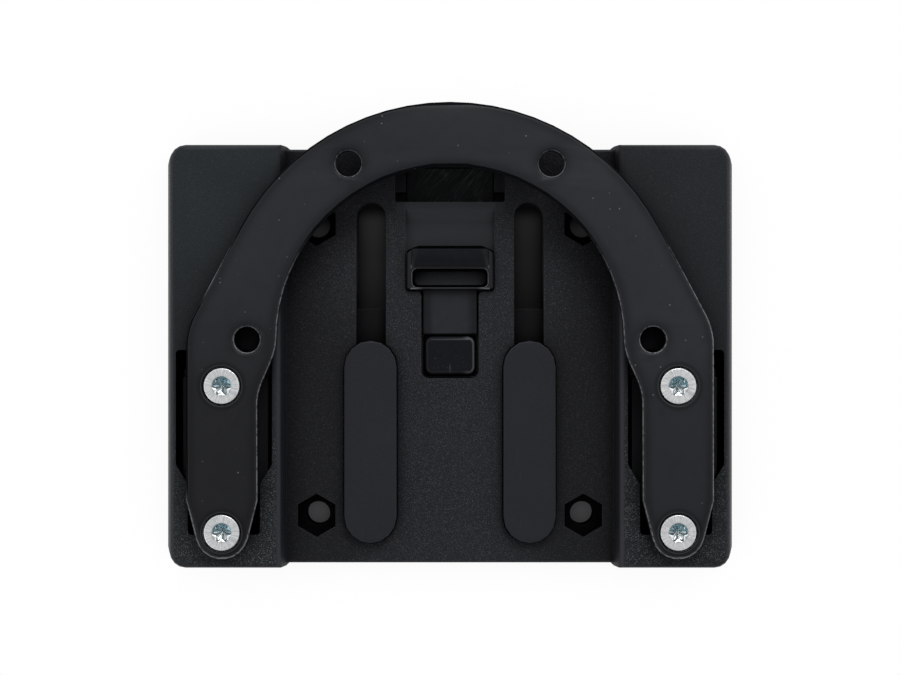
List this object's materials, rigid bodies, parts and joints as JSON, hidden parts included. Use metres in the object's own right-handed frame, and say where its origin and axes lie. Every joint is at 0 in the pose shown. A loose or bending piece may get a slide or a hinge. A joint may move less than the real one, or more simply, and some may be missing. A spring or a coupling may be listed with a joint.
{
  "type": "tank bag mounting ring with quick-release adapter plate",
  "caption": "U-shaped steel tank ring locked on rails in the keyhole pockets of a moulded adapter plate, released by a sprung strap latch",
  "frame": {"origin": "middle of the adapter plate on its flat back, which lies on the tank bag", "axes": "X across the plate, Y towards the ring's closed end, Z from the bag to the tank"},
  "size_m": [0.156, 0.124, 0.024],
  "materials": {
    "moulded_black": "fine moulded grain on glass-filled nylon",
    "gloss_black": "smooth moulded black with light scuffs",
    "latch_black": "polished moulded black",
    "rail_black": "smooth sliding surface, semi-gloss",
    "powder_coat": "satin black powder coat on steel",
    "zinc_steel": "bright zinc plate",
    "insert_brass": "knurled brass",
    "spring_steel": "drawn spring wire",
    "pad_rubber": "matte cellular rubber"
  },
  "bodies": {
    "plate": {"base_shell": "moulded_black", "back_cover": "gloss_black", "cover_screw_1": "zinc_steel", "cover_screw_2": "zinc_steel", "cover_screw_3": "zinc_steel", "cover_screw_4": "zinc_steel", "cover_screw_5": "zinc_steel", "cover_screw_6": "zinc_steel", "cover_screw_7": "zinc_steel", "cover_screw_8": "zinc_steel", "left_pad": "pad_rubber", "right_pad": "pad_rubber", "left_spring": "spring_steel", "right_spring": "spring_steel"},
    "ring": {"mounting_ring": "powder_coat", "left_rail": "rail_black", "right_rail": "rail_black", "left_upper_screw": "zinc_steel", "left_lower_screw": "zinc_steel", "right_upper_screw": "zinc_steel", "right_lower_screw": "zinc_steel", "left_upper_insert": "insert_brass", "left_lower_insert": "insert_brass", "right_upper_insert": "insert_brass", "right_lower_insert": "insert_brass"},
    "latch": {"strap_slider": "latch_black", "lock_bar": "latch_black"}
  },
  "joints": [
    {"name": "ring_slide", "type": "slide", "parent": "plate", "child": "ring", "axis": [0, 1, 0], "range_m": [0, 0.0046]},
    {"name": "latch_pull", "type": "slide", "parent": "plate", "child": "latch", "axis": [0, 1, 0], "range_m": [0, 0.007], "stiffness_N_per_m": 300, "deforming": ["left_spring", "right_spring"]}
  ],
  "couplings": [
    {"joint": "latch_pull", "follows": "ring_slide", "ratio": 1.5217}
  ]
}
